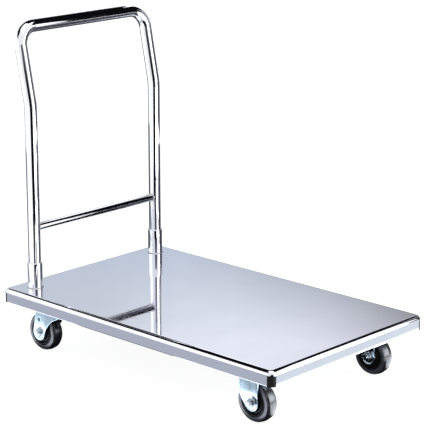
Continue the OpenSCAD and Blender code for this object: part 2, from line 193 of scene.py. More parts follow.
def bridge(bm, rings, closed_along=False, caps=False):
    """Quads between rings of the same number of vertices."""
    count = len(rings[0])
    spans = len(rings) if closed_along else len(rings) - 1
    for i in range(spans):
        a, b = rings[i], rings[(i + 1) % len(rings)]
        for k in range(count):
            m = (k + 1) % count
            bm.faces.new((a[k], a[m], b[m], b[k]))
    if caps:
        bm.faces.new(list(reversed(rings[0])))
        bm.faces.new(rings[-1])


def around(steps):
    """Angles once round, in radians."""
    return [2 * pi * k / steps for k in range(steps)]


def upright(p):
    return Matrix.Translation((p.x, p.y, 0))


def lathe(bm, profile, segments, at, radius_of=None):
    """Turns a closed profile of (radius, height) about z.
    radius_of(angle, radius, height) may vary it."""
    rings = []
    for a in around(segments):
        ring = []
        for r, z in profile:
            if radius_of:
                r = radius_of(a, r, z)
            ring.append(bm.verts.new(at @ Vector((r * cos(a), r * sin(a), z))))
        rings.append(ring)
    bridge(bm, rings, closed_along=True)


def sweep(bm, path, radius, wall):
    """A round tube with a wall along a path, open at both ends."""
    sides = 72
    tangents = []
    for i in range(len(path)):
        ahead = path[min(i + 1, len(path) - 1)] - path[i]
        behind = path[i] - path[max(i - 1, 0)]
        tangents.append((ahead.normalized() + behind.normalized()).normalized())
    side = tangents[0].orthogonal().normalized()
    spokes = []
    for i, t in enumerate(tangents):
        if i:
            side = tangents[i - 1].rotation_difference(t) @ side
        side = (side - side.dot(t) * t).normalized()
        up = t.cross(side)
        spokes.append([side * cos(a) + up * sin(a) for a in around(sides)])
    outer, inner = ([[bm.verts.new(p + q * r) for q in ring] for p, ring in zip(path, spokes)]
                    for r in (radius, radius - wall))
    bridge(bm, outer)
    bridge(bm, [list(reversed(ring)) for ring in inner])
    for a, b in ((inner[0], outer[0]), (outer[-1], inner[-1])):
        bridge(bm, [a, b])


def prism(bm, outline, low, high, at=Matrix.Identity(4)):
    """A prism on a 2D outline."""
    rings = [[bm.verts.new(at @ Vector((x, y, z))) for x, y in outline] for z in (low, high)]
    bridge(bm, rings, caps=True)


def add_object(name, data):
    obj = bpy.data.objects.new(name, data)
    bpy.context.scene.collection.objects.link(obj)
    return obj


def mesh_object(bm, name, material=None):
    """Turns a bmesh into an object and frees it."""
    mesh = bpy.data.meshes.new(name)
    bm.to_mesh(mesh)
    bm.free()
    if material:
        mesh.materials.append(material)
    return add_object(name, mesh)


def finish_mesh(bm, name, material, angle=35):
    """Turns a bmesh into a smooth-shaded object whose edges past the angle stay sharp."""
    merge = 1e-6
    bmesh.ops.remove_doubles(bm, verts=bm.verts, dist=merge)
    bmesh.ops.dissolve_degenerate(bm, edges=bm.edges, dist=merge)
    bmesh.ops.recalc_face_normals(bm, faces=bm.faces)
    obj = mesh_object(bm, name, material)
    smooth(obj.data, angle)
    return obj


def ease_edges(bm, angle, width):
    """Rounds the edges that are sharper than the angle."""
    edges = [e for e in bm.edges if e.calc_face_angle(0) > radians(angle)]
    bmesh.ops.bevel(bm, geom=edges, offset=width, segments=2, affect="EDGES", profile=0.5)


def discard(obj):
    """Removes an object and its mesh."""
    mesh = obj.data
    bpy.data.objects.remove(obj)
    bpy.data.meshes.remove(mesh)


def smooth(mesh, angle):
    mesh.polygons.foreach_set("use_smooth", [True] * len(mesh.polygons))
    mesh.set_sharp_from_angle(angle=radians(angle))


def settle(obj, angle=35):
    """Applies the object's modifiers to its mesh."""
    bpy.context.view_layer.update()
    evaluated = obj.evaluated_get(bpy.context.evaluated_depsgraph_get())
    mesh = bpy.data.meshes.new_from_object(evaluated)
    obj.modifiers.clear()
    old = obj.data
    obj.data = mesh
    bpy.data.meshes.remove(old)
    smooth(obj.data, angle)


def solidify(obj, thickness, offset, angle=35):
    """Gives an open sheet its thickness, outside at offset 1 and inside at -1."""
    thick = obj.modifiers.new("thickness", "SOLIDIFY")
    thick.thickness = thickness
    thick.offset = offset
    thick.use_even_offset = True
    settle(obj, angle)


def drill(obj, z, depth, holes):
    """Cuts upright round holes, each (x, y, radius), to that depth either side of z."""
    bm = bmesh.new()
    for x, y, radius in holes:
        prism(bm, arc((x, y), radius, 0, 352.5, 47), z - depth, z + depth)
    bmesh.ops.recalc_face_normals(bm, faces=bm.faces)
    cutter = mesh_object(bm, "cutter")
    cut = obj.modifiers.new("holes", "BOOLEAN")
    cut.object = cutter
    cut.operation = "DIFFERENCE"
    cut.solver = "EXACT"
    settle(obj)
    discard(cutter)


def stands_for(obj, body, slot, *nodes):
    """Puts a finished piece on its body in place of its CAD nodes."""
    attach(obj, body)
    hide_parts(*nodes)


# ---- materials


def add_node(tree, kind, values=None, links=None, **settings):
    node = tree.nodes.new("ShaderNode" + kind)
    for key, value in settings.items():
        setattr(node, key, value)
    for key, value in (values or {}).items():
        node.inputs[key].default_value = value
    for key, socket in (links or {}).items():
        tree.links.new(socket, node.inputs[key])
    return node


def start_material(name, colour, metallic, roughness):
    material = bpy.data.materials.new(name)
    material.use_nodes = True
    tree = material.node_tree
    shader = tree.nodes["Principled BSDF"]
    shader.inputs["Base Color"].default_value = (*colour, 1)
    shader.inputs["Metallic"].default_value = metallic
    shader.inputs["Roughness"].default_value = roughness
    return material, tree, shader


def noise(tree, scale, detail, rough=0.55, stretch=(1, 1, 1), offset=(0, 0, 0)):
    """Noise on the piece's own coordinates, in metres, stretched by direction."""
    place = add_node(tree, "TexCoord").outputs["Object"]
    mapping = add_node(tree, "Mapping", {"Scale": stretch, "Location": offset}, {"Vector": place})
    values = {"Scale": scale, "Detail": detail, "Roughness": rough}
    node = add_node(tree, "TexNoise", values, {"Vector": mapping.outputs["Vector"]})
    return node.outputs["Fac"]


def ranged(tree, socket, low, high, from_low=0.3, from_high=0.7):
    values = {"From Min": from_low, "From Max": from_high, "To Min": low, "To Max": high}
    return add_node(tree, "MapRange", values, {"Value": socket}).outputs["Result"]


def wire(tree, socket, value):
    """Links a socket to an input, or sets the input."""
    if isinstance(value, bpy.types.NodeSocket):
        tree.links.new(value, socket)
    else:
        socket.default_value = value


def mixed(tree, factor, a, b):
    """A colour between two others, each a socket or three numbers."""
    node = add_node(tree, "Mix", data_type="RGBA")
    tree.links.new(factor, node.inputs[0])
    for socket, value in zip((node.inputs[6], node.inputs[7]), (a, b)):
        wire(tree, socket, value if isinstance(value, bpy.types.NodeSocket) else (*value, 1))
    return node.outputs[2]


def added(tree, a, b):
    node = add_node(tree, "Math", operation="ADD")
    wire(tree, node.inputs[0], a)
    wire(tree, node.inputs[1], b)
    return node.outputs[0]


def bumped(tree, shader, height, distance):
    """Adds a bump of that depth, in metres, on top of the shader's earlier ones."""
    bump = add_node(tree, "Bump", {"Distance": distance, "Strength": 1.0}, {"Height": height})
    before = shader.inputs["Normal"].links
    if before:
        tree.links.new(before[0].from_socket, bump.inputs["Normal"])
    tree.links.new(bump.outputs["Normal"], shader.inputs["Normal"])


def feed(tree, shader, colour, roughness):
    tree.links.new(colour, shader.inputs["Base Color"])
    tree.links.new(roughness, shader.inputs["Roughness"])


def polished_steel(name, light, dark, grain_along, wave):
    """Mirror-polished stainless steel with faint polishing lines along one axis and handling marks."""
    material, tree, shader = start_material(name, light, 1.0, 0.06)
    patches = noise(tree, 9.0, 3.0)
    lines = noise(tree, 60.0, 5.0, 0.7, grain_along)
    smears = noise(tree, 4.0, 6.0, 0.6, (1, 2.2, 1), (3.1, 1.7, 0.4))
    tint = mixed(tree, ranged(tree, patches, 0, 1), light, dark)
    rough = added(tree, ranged(tree, lines, 0.02, 0.055), ranged(tree, smears, 0.0, 0.05, 0.52, 0.72))
    feed(tree, shader, tint, rough)
    bumped(tree, shader, noise(tree, 7.0, 1.0, 0.4), wave)
    bumped(tree, shader, lines, 1.5e-6)
    return material


def weld_steel():
    """Stainless weld bead: bright steel with straw and blue heat tint and a fine ripple."""
    material, tree, shader = start_material("weld_bead", (0.62, 0.62, 0.63), 1.0, 0.3)
    tint = noise(tree, 160.0, 3.0)
    straw = mixed(tree, ranged(tree, tint, 0, 1), (0.46, 0.47, 0.50), (0.42, 0.41, 0.39))
    blue = noise(tree, 90.0, 2.0, 0.5, offset=(2, 5, 1))
    heat = mixed(tree, ranged(tree, blue, 0, 0.6, 0.5, 0.8), straw, (0.28, 0.31, 0.38))
    feed(tree, shader, heat, ranged(tree, tint, 0.14, 0.34))
    bumped(tree, shader, noise(tree, 1200.0, 3.0), 6e-5)
    return material


def zinc_plate(name, light, dark, rough_low, rough_high):
    """Bright zinc plating with a blue passivate: soft mottling, draw lines and small rub marks."""
    material, tree, shader = start_material(name, light, 1.0, rough_low)
    mottle = noise(tree, 70.0, 6.0, 0.65)
    cloud = noise(tree, 22.0, 3.0, 0.5, (1, 1, 0.5), (1, 4, 2))
    draw = noise(tree, 700.0, 4.0, 0.7, (1, 1, 0.06))
    tint = mixed(tree, ranged(tree, mottle, 0, 1), light, dark)
    rough = added(tree, ranged(tree, cloud, rough_low, rough_high), ranged(tree, mottle, -0.03, 0.06))
    feed(tree, shader, tint, rough)
    bumped(tree, shader, cloud, 1.2e-4)
    bumped(tree, shader, draw, 4e-6)
    return material


def satin_paint():
    """Dark powder coat on the frame, with orange peel and dust."""
    material, tree, shader = start_material("frame_powder_coat", (0.1, 0.11, 0.12), 0.0, 0.5)
    dust = noise(tree, 14.0, 6.0, 0.65)
    peel = noise(tree, 900.0, 2.0, 0.5)
    tint = mixed(tree, ranged(tree, dust, 0, 0.5, 0.45, 0.8), (0.10, 0.11, 0.12), (0.20, 0.20, 0.20))
    feed(tree, shader, tint, ranged(tree, dust, 0.42, 0.66))
    bumped(tree, shader, peel, 5e-5)
    return material


def moulded(name, colour, worn, rough_low, rough_high, grain, depth, specular):
    """Rubber or moulded plastic with a fine texture, and paler where it is rubbed."""
    material, tree, shader = start_material(name, colour, 0.0, rough_low)
    shader.inputs["Specular IOR Level"].default_value = specular
    rub = noise(tree, 38.0, 5.0, 0.6)
    fine = noise(tree, grain, 3.0, 0.6)
    tint = mixed(tree, ranged(tree, rub, 0, 1, 0.45, 0.75), colour, worn)
    feed(tree, shader, tint, ranged(tree, rub, rough_low, rough_high))
    bumped(tree, shader, fine, depth)
    return material


SHEET_STEEL = polished_steel("polished_sheet_steel", (0.80, 0.82, 0.87), (0.77, 0.79, 0.85),
                             (0.02, 1, 1), 4e-5)
TUBE_STEEL = polished_steel("polished_tube_steel", (0.84, 0.85, 0.88), (0.80, 0.81, 0.85),
                            (1, 1, 0.05), 1e-5)
WELD = weld_steel()
ZINC = zinc_plate("zinc_plate", (0.57, 0.72, 0.79), (0.48, 0.63, 0.71), 0.14, 0.26)
FASTENER = zinc_plate("fastener_zinc", (0.46, 0.49, 0.52), (0.34, 0.37, 0.40), 0.14, 0.26)
BEARING = zinc_plate("bearing_steel", (0.66, 0.67, 0.69), (0.58, 0.59, 0.61), 0.10, 0.18)
PAINT = satin_paint()
INSERT_RUBBER = moulded("insert_rubber", (0.004, 0.004, 0.005), (0.010, 0.010, 0.011),
                        0.45, 0.6, 2600.0, 3e-5, 0.2)
TYRE_RUBBER = moulded("tyre_rubber", (0.004, 0.004, 0.006), (0.010, 0.010, 0.013),
                      0.22, 0.34, 1800.0, 2e-5, 0.95)
# paler rubber for the ring on each tyre side: a painted highlight for the shoulders' sheen
SIDEWALL_PAINTED_SHEEN = moulded("sidewall_painted_sheen", (0.02, 0.02, 0.035), (0.045, 0.045, 0.07),
                          0.24, 0.36, 1800.0, 2e-5, 0.95)
CORE_PLASTIC = moulded("core_plastic", (0.004, 0.004, 0.005), (0.010, 0.010, 0.012),
                       0.32, 0.46, 1500.0, 1.5e-5, 0.12)

# ---- deck


def deck_level(radius, z, steps):
    """Points round the deck, each corner an arc of that radius about its centre."""
    points = []
    for quarter, (sx, sy) in enumerate(((1, 1), (-1, 1), (-1, -1), (1, -1))):
        for x, y in arc((sx * ARC_X, sy * ARC_Y), radius, 90 * quarter, 90 * quarter + 90, steps):
            points.append(Vector((x, y, z)))
    return points


def deck_panel():
    """The folded sheet: a flat top, a rolled edge all round, four skirts and their lips."""
    roll_steps, corner_steps, bend_steps = 28, 14, 6
    flat_r = CORNER_R - ROLL_R
    bm = bmesh.new()
    levels = [(flat_r - FLAT_MARGIN, DECK_TOP)]
    for i in range(roll_steps + 1):
        a = radians(90 * i / roll_steps)
        levels.append((flat_r + ROLL_R * sin(a), DECK_TOP - ROLL_R * (1 - cos(a))))
    rings = [[bm.verts.new(p) for p in deck_level(r, z, corner_steps)] for r, z in levels]
    bridge(bm, rings)
    bm.faces.new(rings[0])
    per_corner = corner_steps + 1
    count = 4 * per_corner
    foot = SKIRT_FOOT
    for quarter in range(4):
        a = rings[-1][quarter * per_corner + corner_steps]
        b = rings[-1][(quarter + 1) * per_corner % count]
        outward = Vector(((0, 1, 0), (-1, 0, 0), (0, -1, 0), (1, 0, 0))[quarter])
        drops = [(0, foot + LIP_BEND_R)]
        for i in range(1, bend_steps + 1):
            t = radians(90 * i / bend_steps)
            drops.append((LIP_BEND_R * (1 - cos(t)), foot + LIP_BEND_R * (1 - sin(t))))
        drops.append((LIP_W, foot))
        for inward, z in drops:
            pair = []
            for end in (a, b):
                p = Vector((end.co.x, end.co.y, z))
                if outward.x:
                    p.x = outward.x * (DECK_HIGH.x - inward)
                else:
                    p.y = outward.y * (DECK_HIGH.y - inward)
                pair.append(bm.verts.new(p))
            bm.faces.new((a, b, pair[1], pair[0]))
            a, b = pair
    bmesh.ops.recalc_face_normals(bm, faces=bm.faces)
    if next(f for f in bm.faces if len(f.verts) == count).normal.z < 0:
        bmesh.ops.reverse_faces(bm, faces=bm.faces)
    obj = mesh_object(bm, "deck_sheet", SHEET_STEEL)
    solidify(obj, SHEET, -1)
    drill(obj, DECK_TOP, 3 * SHEET, [(p.x, p.y, SOCKET_R + BEAD) for p in POST_AT.values()])
    stands_for(obj, "chassis", "polished_sheet", "deck_panel")


def corner_inserts():
    """Moulded pieces that close the gaps between the skirts."""
    bm = bmesh.new()
    high = DECK_TOP - ROLL_R
    inner = CORNER_R - SHEET
    for sx in (1, -1):
        for sy in (1, -1):
            at = Matrix.Translation((sx * ARC_X, sy * ARC_Y, 0)) @ Matrix.Diagonal((sx, sy, 1, 1))
            plug = [(0, 0)] + arc((0, 0), CORNER_R - INSERT_GAP, 0, 90, 16)
            prism(bm, plug, SKIRT_FOOT, high, at)
            wings = [(-WING_L, inner), (-WING_L, inner - WING_T),
                     (WING_T, inner - WING_T), (WING_T, inner)]
            for mirror in (False, True):
                wing = [(y, x) for x, y in wings] if mirror else wings
                prism(bm, wing, SKIRT_FOOT + SHEET, high - SHEET, at)
    ease_edges(bm, 40, 0.5 * MM)
    obj = finish_mesh(bm, "corner_plugs", INSERT_RUBBER, 40)
    stands_for(obj, "chassis", "corner_rubber", "corner_inserts")


# ---- frame


def channel(node, name, along_x):
    """A folded U channel in place of a CAD channel."""
    low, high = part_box(node)
    middle = (low + high) / 2
    run = (high.x - low.x) if along_x else (high.y - low.y)
    width = (high.y - low.y) if along_x else (high.x - low.x)
    height = high.z - low.z
    half, t = width / 2, CHANNEL_T
    corners = [(-half, 0), (half, 0), (half, height), (half - t, height),
               (half - t, t), (-half + t, t), (-half + t, height), (-half, height)]
    inner_r = CHANNEL_BEND_R - t
    edge_r = 0.4 * MM
    section = rounded(corners, [CHANNEL_BEND_R, CHANNEL_BEND_R, edge_r, edge_r,
                                inner_r, inner_r, edge_r, edge_r])
    turn = Matrix.Rotation(radians(90), 4, "X")
    if along_x:
        turn = Matrix.Rotation(radians(90), 4, "Z") @ turn
    bm = bmesh.new()
    at = Matrix.Translation((middle.x, middle.y, low.z)) @ turn
    prism(bm, section, -run / 2, run / 2, at)
    return finish_mesh(bm, name, PAINT)


def frame_channels():
    for word, side in SIDES.items():
        node = word + "_side_rail"
        rail = channel(node, "rail_" + word, True)
        holes = []
        for wheel, p in PLATE_AT.items():
            if p.y * side < 0:
                continue
            for dx, dy in BOLT_SPOTS:
                holes.append((p.x + dx, p.y + dy, BOLT_HOLE_R))
            if wheel.startswith("rear"):
                holes.append((p.x, p.y, KINGPIN_ROOM_R))
        drill(rail, PLATE_TOP, 2 * CHANNEL_T, holes)
        stands_for(rail, "chassis", "frame_paint", node)
    for word in ("front", "middle", "rear"):
        node = word + "_cross_member"
        stands_for(channel(node, "crossmember_" + word, False), "chassis", "frame_paint", node)


# ---- handle


def weld_radius(angle, steps=64, depth=0.14):
    """Size of a weld bead round its ring: overlapping scallops."""
    return 1 - depth * abs(sin(steps * angle / 2)) ** 0.7


def handle_sockets():
    for word, side in SIDES.items():
        node = word + "_handle_socket"
        low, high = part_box(node)
        bore = TUBE_R + SOCKET_CLEAR
        corners = [(0, low.z), (SOCKET_R, low.z), (SOCKET_R, high.z), (bore, high.z),
                   (bore, low.z + SOCKET_FLOOR_T), (0, low.z + SOCKET_FLOOR_T)]
        profile = rounded(corners, [0, 0.5 * MM, 0.9 * MM, 0.9 * MM, 0, 0])
        bm = bmesh.new()
        lathe(bm, profile, 96, upright(POST_AT[side]))
        stands_for(finish_mesh(bm, "socket_" + word, TUBE_STEEL), "chassis", "polished_tube", node)

    def ripple(angle, r, z):
        return SOCKET_R + (r - SOCKET_R) * (weld_radius(angle) if z > 0.2 * MM else 1)

    profile = [(SOCKET_R, -SHEET), (SOCKET_R + BEAD, -SHEET)]
    profile += [(SOCKET_R + x, y) for x, y in arc((0, 0), BEAD, 0, 90, 6)]
    bm = bmesh.new()
    for p in POST_AT.values():
        lathe(bm, profile, 512, Matrix.Translation((p.x, p.y, DECK_TOP)), ripple)
    stands_for(finish_mesh(bm, "socket_welds", WELD, 60), "chassis", "weld", "socket_weld_beads")


def handle():
    low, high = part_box("handle_tube")
    post_x, post_y = POST_AT[LEFT].x, POST_AT[LEFT].y
    grip_x, grip_z = low.x + TUBE_R, high.z - TUBE_R
    lean_z = grip_z - (post_x - grip_x) / tan(LEAN)
    corners = [(post_x, post_y, low.z), (post_x, post_y, lean_z), (grip_x, post_y, grip_z),
               (grip_x, -post_y, grip_z), (post_x, -post_y, lean_z), (post_x, -post_y, low.z)]
    radii = [0, LEAN_R, TOP_CORNER_R, TOP_CORNER_R, LEAN_R, 0]
    bm = bmesh.new()
    sweep(bm, rounded_path(corners, radii, radians(2)), TUBE_R, TUBE_WALL)
    stands_for(finish_mesh(bm, "push_handle", TUBE_STEEL), "handle", "polished_tube", "handle_tube")

    bar = centre("handle_crossbar")
    sides = 64

    def seat_y(side, x):
        """Where the crossbar meets a post's surface."""
        return side * (post_y - sqrt(TUBE_R**2 - x**2))

    bm = bmesh.new()
    shells = []
    for radius in (CROSSBAR_R, CROSSBAR_R - CROSSBAR_WALL):
        rings = []
        for side in (LEFT, RIGHT):
            for inset in (0, 12 * MM):
                ring = []
                for a in around(sides):
                    x = radius * cos(a)
                    y = seat_y(side, x) - side * inset
                    ring.append(bm.verts.new((bar.x + x, y, bar.z + radius * sin(a))))
                rings.append(ring)
        shells.append([rings[0], rings[1], rings[3], rings[2]])
    bridge(bm, shells[0])
    bridge(bm, shells[1])
    bridge(bm, [shells[0][0], shells[1][0]])
    bridge(bm, [shells[0][-1], shells[1][-1]])
    stands_for(finish_mesh(bm, "crossbar", TUBE_STEEL), "handle", "polished_tube", "handle_crossbar")

    bm = bmesh.new()
    steps, bead_sides = 288, 12
    for side in (LEFT, RIGHT):
        rings = []
        for a in around(steps):
            spoke = Vector((cos(a), 0, sin(a)))
            seat = Vector((bar.x, seat_y(side, CROSSBAR_R * spoke.x), bar.z)) + spoke * CROSSBAR_R
            inward = Vector((0, -side, 0))
            size = 1.7 * MM * weld_radius(a, 40)
            ring = []
            for b in around(bead_sides):
                ring.append(bm.verts.new(seat + (spoke * cos(b) + inward * sin(b)) * size))
            rings.append(ring)
        bridge(bm, rings, closed_along=True)
    stands_for(finish_mesh(bm, "crossbar_welds", WELD, 60), "handle", "weld", "crossbar_weld_beads")


# ---- wheels


def axle_matrix(place):
    """The axle is z, towards the trolley's right, x stays forward and y is up."""
    return Matrix.Translation(place) @ Matrix.Rotation(radians(90), 4, "X")


def tyre(wheel):
    """A tyre with round shoulders and a flat crown; a ring on each side is paler rubber, a painted
    highlight where the shoulders catch the light.
    """
    shoulder_r, tread_r, tread_half, crown_half = 44.6 * MM, WHEEL_R - 1.5 * MM, 10.6 * MM, 0.01 * MM
    sheen_ring_in_r, sheen_ring_out_r, sheen_ring_depth = 39.5 * MM, 46.5 * MM, 4 * MM
    corners = [(TYRE_BORE_R, -TYRE_HALF), (shoulder_r, -TYRE_HALF), (tread_r, -tread_half)]
    radii = [0.6 * MM, 4.2 * MM, 6 * MM]
    crown = [(WHEEL_R, -crown_half), (WHEEL_R, crown_half)]
    corners += crown + [(r, -y) for r, y in reversed(corners)]
    radii += [0, 0] + list(reversed(radii))
    profile = rounded(corners, radii, 9)
    bm = bmesh.new()
    lathe(bm, profile, 160, axle_matrix(WHEEL_AT[wheel]))
    obj = finish_mesh(bm, "tyre_" + wheel, TYRE_RUBBER, 50)
    # faces in a ring on each side take the paler rubber: a painted highlight for the shoulder's sheen
    obj.data.materials.append(SIDEWALL_PAINTED_SHEEN)
    axle = WHEEL_AT[wheel]
    for face in obj.data.polygons:
        spoke = face.center - axle
        radius = hypot(spoke.x, spoke.z)
        if sheen_ring_in_r < radius < sheen_ring_out_r and abs(spoke.y) > TYRE_HALF - sheen_ring_depth:
            face.material_index = 1
    stands_for(obj, wheel + "_wheel", "tyre_rubber", wheel + "_tyre")


def wheel_core(wheel):
    """Moulded core: hub, boss, web with shallow ribs, and the rim under the tyre."""
    rim = TYRE_HALF - 1 * MM
    half = [(TYRE_BORE_R, 0), (TYRE_BORE_R, rim), (RIM_IN_R, rim), (RIM_IN_R - 0.8 * MM, WEB_HALF),
            (BOSS_R, WEB_HALF), (BOSS_R - 0.8 * MM, BOSS_HALF), (HUB_R + 0.6 * MM, BOSS_HALF),
            (HUB_R, HUB_HALF), (BEARING_R, HUB_HALF), (BEARING_R, BEARING_MID - BEARING_W / 2),
            (CORE_BORE_R, BEARING_MID - BEARING_W / 2)]
    bend = [0, 0.6, 0.8, 1.4, 1.0, 0.9, 1.2, 0.9, 0.5, 0, 0]
    corners = half + [(r, -y) for r, y in reversed(half[1:])]
    radii = [b * MM for b in bend + list(reversed(bend[1:]))]
    bm = bmesh.new()
    lathe(bm, rounded(corners, radii, 4), 120, axle_matrix(WHEEL_AT[wheel]))
    rib_in, rib_out, rib_half = BOSS_R - 1.5 * MM, RIM_IN_R + 0.4 * MM, 0.9 * MM
    rib = [(rib_in, -rib_half), (rib_out, -rib_half), (rib_out, rib_half), (rib_in, rib_half)]
    low, high = WEB_HALF - 1 * MM, BOSS_HALF - 0.3 * MM
    for angle in around(RIBS):
        at = axle_matrix(WHEEL_AT[wheel]) @ Matrix.Rotation(angle, 4, "Z")
        prism(bm, rib, low, high, at)
        prism(bm, rib, -high, -low, at)
    obj = finish_mesh(bm, "core_" + wheel, CORE_PLASTIC, 40)
    stands_for(obj, wheel + "_wheel", "core_plastic", wheel + "_wheel_core")


# ---- fasteners


def hex_at(angle, across_flats):
    """Radius of a hexagon with that width across its flats, at an angle."""
    local = (angle + pi / 6) % (pi / 3) - pi / 6
    return across_flats / 2 / cos(local)


def hexagon(bm, across_flats, low, high, bore, at, chamfer_low=False, chamfer_high=True):
    """A hexagonal head or nut with turned chamfers, and a bore or, at 0, none."""
    reach = across_flats / sqrt(3)
    drop = (reach - across_flats / 2 * 0.97) * tan(radians(30))
    face = across_flats / 2 * 0.95
    steps = 4
    levels = [(bore, low), (face if chamfer_low else reach, low)]
    if chamfer_low:
        levels += [(face + (reach - face) * i / steps, low + drop * i / steps)
                   for i in range(1, steps + 1)]
    if chamfer_high:
        levels += [(reach - (reach - face) * i / steps, high - drop + drop * i / steps)
                   for i in range(steps + 1)]
    else:
        levels += [(reach, high)]
    levels += [(bore, high)]

    def limit(angle, r, z):
        return min(r, hex_at(angle, across_flats))

    lathe(bm, levels, 72, at, limit)


def thread(radius, low, high, pitch, depth=0.55):
    """Profile points of a thread's crests and roots, from low to high."""
    points = []
    turns = max(1, int((high - low) / pitch))
    step = (high - low) / turns
    for i in range(turns):
        z = low + step * i
        points += [(radius, z + 0.1 * step), (radius - depth * step, z + 0.5 * step),
                   (radius, z + 0.9 * step)]
    return points


def stud(bm, radius, low, high, pitch, at, plain):
    """A bolt's shank: plain for a length, then threaded, with a chamfered end."""
    tip = 0.8 * pitch
    profile = [(0, low), (radius, low), (radius, low + plain)]
    profile += thread(radius, low + plain, high - tip, pitch)
    profile += [(radius - 0.5 * pitch, high), (0, high)]
    lathe(bm, profile, 40, at)


def washer_face(bm, radius, low, high, at):
    """The round, eased face under a bolt's head."""
    ease_r = 0.3 * (high - low)
    disc = [(0, low), (radius, low), (radius, high), (0, high)]
    lathe(bm, rounded(disc, [0, ease_r, ease_r, 0]), 64, at)


def caster_fasteners():
    under = PLATE_TOP - PLATE_T
    head_h, nut_h = 5.3 * MM, 6.5 * MM
    shank_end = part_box("caster_bolts")[1].z
    bolts, nuts = bmesh.new(), bmesh.new()
    turn = 0
    for p in PLATE_AT.values():
        for dx, dy in BOLT_SPOTS:
            turn += 37
            spin = Matrix.Rotation(radians(turn % 60 - 30), 4, "Z")
            at = Matrix.Translation((p.x + dx, p.y + dy, 0)) @ spin
            hexagon(bolts, BOLT_HEX, under - head_h, under - 0.4 * MM, 0, at, True, False)
            washer_face(bolts, BOLT_HEX / 2 * 0.98, under - 0.5 * MM, under, at)
            stud(bolts, BOLT_R, under - 1 * MM, shank_end, BOLT_PITCH, at, 6 * MM)
            nut_low = PLATE_TOP + CHANNEL_T
            hexagon(nuts, BOLT_HEX, nut_low, nut_low + nut_h, BOLT_R, at, True)
    stands_for(finish_mesh(bolts, "plate_bolts", FASTENER, 30), "chassis", "fastener", "caster_bolts")
    stands_for(finish_mesh(nuts, "plate_nuts", FASTENER, 30), "chassis", "fastener", "caster_nuts")


def axle_fasteners(wheel, body):
    """The axle bolt, head on the left, and its flanged lock nut on the right."""
    at = axle_matrix(WHEEL_AT[wheel])
    grip = BEARING_MID + BEARING_W / 2 + LEG_T
    low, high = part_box(wheel + "_axle_bolt")
    end = WHEEL_AT[wheel].y - low.y
    head = high.y - WHEEL_AT[wheel].y
    bm = bmesh.new()
    spin = at @ Matrix.Rotation(radians(11), 4, "Z")
    hexagon(bm, AXLE_HEX, -head, -grip - 0.5 * MM, 0, spin, True, False)
    washer_face(bm, AXLE_HEX / 2 * 0.98, -grip - 0.6 * MM, -grip, spin)
    stud(bm, AXLE_R - 0.02 * MM, -grip - 1 * MM, end, THREAD_PITCH, spin, 2 * grip - 1 * MM)
    bolt = finish_mesh(bm, "axle_" + wheel, FASTENER, 30)
    stands_for(bolt, body, "fastener", wheel + "_axle_bolt")
    bm = bmesh.new()
    spin = at @ Matrix.Rotation(radians(24), 4, "Z")
    flange_r, flange_t, nut_h, collar_r, collar_h = 12.5 * MM, 1.6 * MM, 8 * MM, 8.4 * MM, 1.6 * MM
    bite = 0.3 * MM
    seat = grip + flange_t
    top = seat + nut_h
    dish = [(AXLE_R, grip), (flange_r, grip), (flange_r, grip + flange_t / 2),
            (10 * MM, seat + bite), (AXLE_R, seat + bite)]
    lathe(bm, rounded(dish, [0, 0.2 * MM, 0.3 * MM, 0, 0]), 72, spin)
    hexagon(bm, AXLE_HEX, seat, top, AXLE_R, spin)
    ring = [(AXLE_R, top - bite), (collar_r, top - bite), (collar_r, top + collar_h),
            (AXLE_R, top + collar_h)]
    lathe(bm, rounded(ring, [0, 0, 1.2 * MM, 0.3 * MM]), 72, spin)
    nut = finish_mesh(bm, "locknut_" + wheel, FASTENER, 30)
    stands_for(nut, body, "fastener", wheel + "_axle_nut")


# ---- pressed sheet parts


def ease(t):
    t = min(1.0, max(0.0, t))
    return t * t * (3 - 2 * t)


def touch(point, radius, side):
    """Angle, in degrees, at which a line from the point touches a circle about the axle."""
    return degrees(atan2(point[1], point[0]) + side * acos(radius / hypot(*point)))


def inside(point, outline):
    """Whether a point is within a closed outline."""
    x, y = point
    found = False
    for (x1, y1), (x2, y2) in zip(outline, outline[1:] + outline[:1]):
        if (y1 > y) != (y2 > y) and x < x1 + (y - y1) * (x2 - x1) / (y2 - y1):
            found = not found
    return found


def spaced(outline, step):
    """The outline with its long sides split."""
    points = []
    for p, q in zip(outline, outline[1:] + outline[:1]):
        length = dist(p, q)
        parts = max(1, ceil(length / step))
        points += [(p[0] + (q[0] - p[0]) * i / parts, p[1] + (q[1] - p[1]) * i / parts)
                   for i in range(parts)]
    return points


def sheet_mesh(bm, outline, holes, step, place):
    """A triangulated sheet within an outline, each of its points put in space by place(x, y)."""
    loops = [spaced(outline, step)] + [spaced(h, step) for h in holes]
    points, edges = [], []
    for loop in loops:
        base = len(points)
        points += loop
        edges += [(base + i, base + (i + 1) % len(loop)) for i in range(len(loop))]
    low = [min(p[i] for p in loops[0]) for i in (0, 1)]
    high = [max(p[i] for p in loops[0]) for i in (0, 1)]
    rim = list(points)
    row = 0
    y = low[1] + step / 2
    while y < high[1]:
        x = low[0] + (step / 2 if row % 2 else step)
        while x < high[0]:
            clear = all(abs(x - p[0]) + abs(y - p[1]) > 0.75 * step for p in rim)
            if clear and inside((x, y), loops[0]) and not any(inside((x, y), h) for h in loops[1:]):
                points.append((x, y))
            x += step
        y += step * sin(pi / 3)
        row += 1
    vectors = [Vector(p) for p in points]
    found, _, faces, _, _, _ = delaunay_2d_cdt(vectors, edges, [], 1, 1e-9)
    verts = [bm.verts.new(place(p.x, p.y)) for p in found]
    for face in faces:
        middle = sum((found[i] for i in face), Vector((0, 0))) / len(face)
        if inside(middle, loops[0]) and not any(inside(middle, h) for h in loops[1:]):
            bm.faces.new([verts[i] for i in face])


